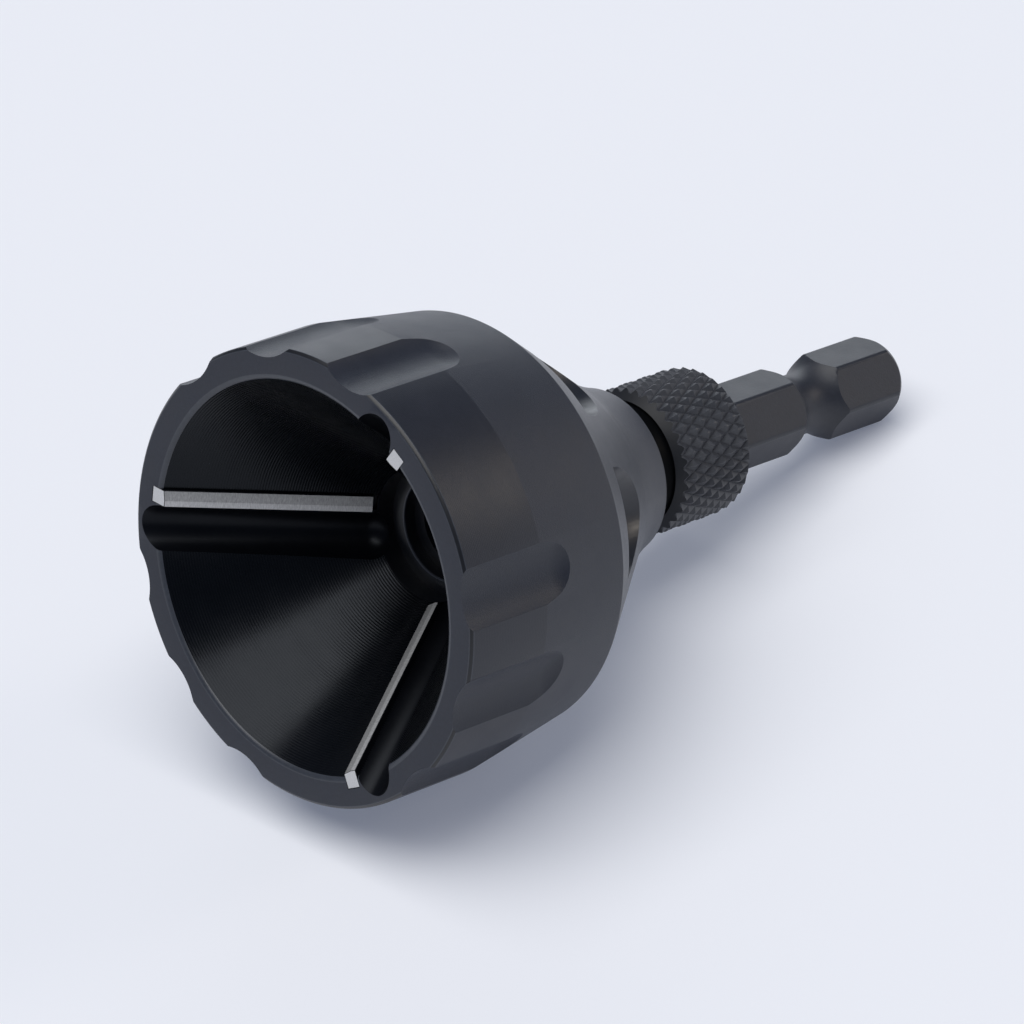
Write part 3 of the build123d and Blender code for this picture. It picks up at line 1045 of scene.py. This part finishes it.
def hex_bar():
    """A length of hex bar with rounded corners, longer than the shank at both ends."""
    bar = bmesh.new()
    bmesh.ops.create_circle(
        bar, cap_ends=True, segments=HEX_SIDES, radius=HEX_FLAT / math.cos(math.pi / HEX_SIDES),
    )
    bmesh.ops.rotate(bar, verts=bar.verts, cent=(0, 0, 0),
                     matrix=Matrix.Rotation(math.radians(HEX_PHASE), 3, "Z"))
    bmesh.ops.translate(bar, verts=bar.verts, vec=(0, 0, HEX_START - BAR_SPARE))
    grown = bmesh.ops.extrude_face_region(bar, geom=bar.faces[:])["geom"]
    top = [item for item in grown if isinstance(item, bmesh.types.BMVert)]
    bmesh.ops.translate(bar, verts=top, vec=(0, 0, SHANK_END - HEX_START + 2 * BAR_SPARE))
    bmesh.ops.recalc_face_normals(bar, faces=bar.faces)
    corners = [e for e in bar.edges if abs(e.verts[0].co.z - e.verts[1].co.z) > BAR_SPARE]
    break_edges(bar, corners, HEX_ROUND, segments=HEX_ROUND_SEGMENTS)
    return bar


print("the hex is", 2 * HEX_FLAT, "mm across its flats")

# %% The ball groove and the ends
HEX_CORNER = 3.6
HEX_END_RADIUS = 3.0
HEX_END_CHAMFER = 0.95
SHOULDER_RADIUS = 3.1
SHOULDER_CHAMFER = 0.35
CLEAR_OF_CORNER = 0.05
CLEAR_OF_CHAMFER = 0.03
HEX_STEPS = 144
BALL_GROOVE_MIDDLE = 55.74
BALL_GROOVE_HALF = 2.65
BALL_GROOVE_FLOOR = 2.5
BALL_GROOVE_SEGMENTS = 72
BALL_GROOVE_STEPS = 96
GROOVE_EDGE = 0.05
HEX_SHARP_ANGLE = 22


def ball_groove_cutter():
    """A ring whose round section cuts the groove to its floor and its width at the hex's corners."""
    depth = HEX_CORNER - BALL_GROOVE_FLOOR
    arc = (BALL_GROOVE_HALF ** 2 + depth ** 2) / (2 * depth)
    ring = bmesh.new()
    bmesh.ops.create_circle(ring, segments=BALL_GROOVE_SEGMENTS, radius=arc)
    bmesh.ops.rotate(ring, verts=ring.verts, cent=(0, 0, 0), matrix=Matrix.Rotation(math.pi / 2, 3, "X"))
    bmesh.ops.translate(ring, verts=ring.verts, vec=(BALL_GROOVE_FLOOR + arc, 0, BALL_GROOVE_MIDDLE))
    return spin_round(ring, BALL_GROOVE_STEPS)


def make_hex():
    envelope = turned([
        (0, HEX_START),
        (SHOULDER_RADIUS, HEX_START),
        (HEX_CORNER + CLEAR_OF_CORNER, HEX_START + SHOULDER_CHAMFER + CLEAR_OF_CHAMFER),
        (HEX_CORNER + CLEAR_OF_CORNER, SHANK_END - HEX_END_CHAMFER),
        (HEX_END_RADIUS, SHANK_END),
        (0, SHANK_END),
    ], HEX_STEPS)
    bar = boolean(boolean(hex_bar(), envelope, "INTERSECT"), ball_groove_cutter())
    behind = HEX_START + 2 * SHOULDER_CHAMFER
    edges = [e for e in sharp_edges(bar, HEX_SHARP_ANGLE) if e.verts[0].co.z > behind]
    break_edges(bar, edges, GROOVE_EDGE)
    return bar


def make_shank():
    hex_end = finish_number(make_hex(), DRAWN)
    stud = finish_number(make_stud(), THREADED)
    shank = boolean(hex_end, stud, "UNION", shank_finishes)
    return place(shank, "shank", shank_finishes, "cutter", ["hex_shank"])


shank = make_shank()

# %% [markdown]
# The studio is a pale floor under one large soft lamp overhead, a dim backdrop on the far side, and a
# small warm panel on the right that draws the sheen on the front band. The overhead lamp is far away
# and wide, so the floor is lit evenly, and a low glow of the floor itself stands for the light that a
# whole pale room would throw back at it.

# %% Floor
FLOOR_HALF = 6.0
FLOOR_TONE = (0.735, 0.74, 0.75, 1)
FLOOR_GLOW = (0.14, 0.155, 0.2, 1)
FLOOR_ROUGHNESS = 0.9


def make_floor():
    mesh = bmesh.new()
    bmesh.ops.create_grid(mesh, x_segments=2, y_segments=2, size=FLOOR_HALF)
    material = bpy.data.materials.new("pale floor")
    material.use_nodes = True
    shader = material.node_tree.nodes["Principled BSDF"]
    shader.inputs["Base Color"].default_value = FLOOR_TONE
    shader.inputs["Roughness"].default_value = FLOOR_ROUGHNESS
    shader.inputs["Specular IOR Level"].default_value = 0.0
    shader.inputs["Emission Color"].default_value = FLOOR_GLOW
    shader.inputs["Emission Strength"].default_value = 1.0
    floor = as_object(mesh, "floor", [material])
    return floor


floor = make_floor()
print("floor", 2 * FLOOR_HALF, "m wide")

# %% Lamps
ROOM_GLOW = (0.10, 0.118, 0.16, 1)


def lamp(name, towards, distance, half_angle, radiance, colour):
    """A square lamp in that direction from the tool, as wide as that half angle, facing the tool."""
    side = 2 * distance * math.tan(math.radians(half_angle))
    data = bpy.data.lights.new(name, "AREA")
    data.shape = "SQUARE"
    data.size = side
    data.energy = radiance * math.pi * side * side
    data.color = colour
    light = bpy.data.objects.new(name, data)
    direction = Vector(towards).normalized()
    light.location = direction * distance
    light.rotation_euler = direction.to_track_quat("Z", "Y").to_euler()
    bpy.context.scene.collection.objects.link(light)
    return light


lamps = [
    lamp("overhead softbox", towards=(-0.18, 0.0, 0.98), distance=4.0, half_angle=27, radiance=3.05,
         colour=(1.0, 0.99, 0.98)),
    lamp("warm side panel", towards=(0.8, -0.52, 0.31), distance=2.0, half_angle=8, radiance=5.2,
         colour=(1.0, 0.9, 0.78)),
    lamp("far backdrop", towards=(0.72, 0.67, 0.2), distance=4.0, half_angle=16, radiance=2.0,
         colour=(0.9, 0.95, 1.0)),
]
world = bpy.data.worlds.new("dim room")
bpy.context.scene.world = world
world.use_nodes = True
world.node_tree.nodes["Background"].inputs["Color"].default_value = ROOM_GLOW
print("lamps", [light.name for light in lamps])

# %% [markdown]
# The camera looks down into the mouth from the front left, with a long lens, as the photographer did.
# Its place and its directions are in the frame: the picture's own right, and the way that it looks.
# The picture's up follows from these two.

# %% Camera
LENS = 246.09
SENSOR_WIDTH = 36.0
NEAREST = 0.01
VIEW_RIGHT = Vector((0.68762261, -0.71620215, -0.11928801))
VIEW_FORWARD = Vector((0.53977595, 0.61413096, -0.57574742))
VIEW_PLACE = Vector((-0.299779, -0.332540, 0.325679))

lens = bpy.data.cameras.new("camera")
lens.lens = LENS
lens.sensor_width = SENSOR_WIDTH
lens.sensor_fit = "HORIZONTAL"
lens.clip_start = NEAREST
camera = bpy.data.objects.new("camera", lens)
view_up = VIEW_RIGHT.cross(VIEW_FORWARD)
camera.matrix_world = (
    Matrix.Translation(VIEW_PLACE) @ Matrix((VIEW_RIGHT, view_up, -VIEW_FORWARD)).transposed().to_4x4()
)
bpy.context.scene.collection.objects.link(camera)
bpy.context.scene.camera = camera
bpy.context.scene.view_settings.view_transform = "Standard"
print("camera up", view_up)
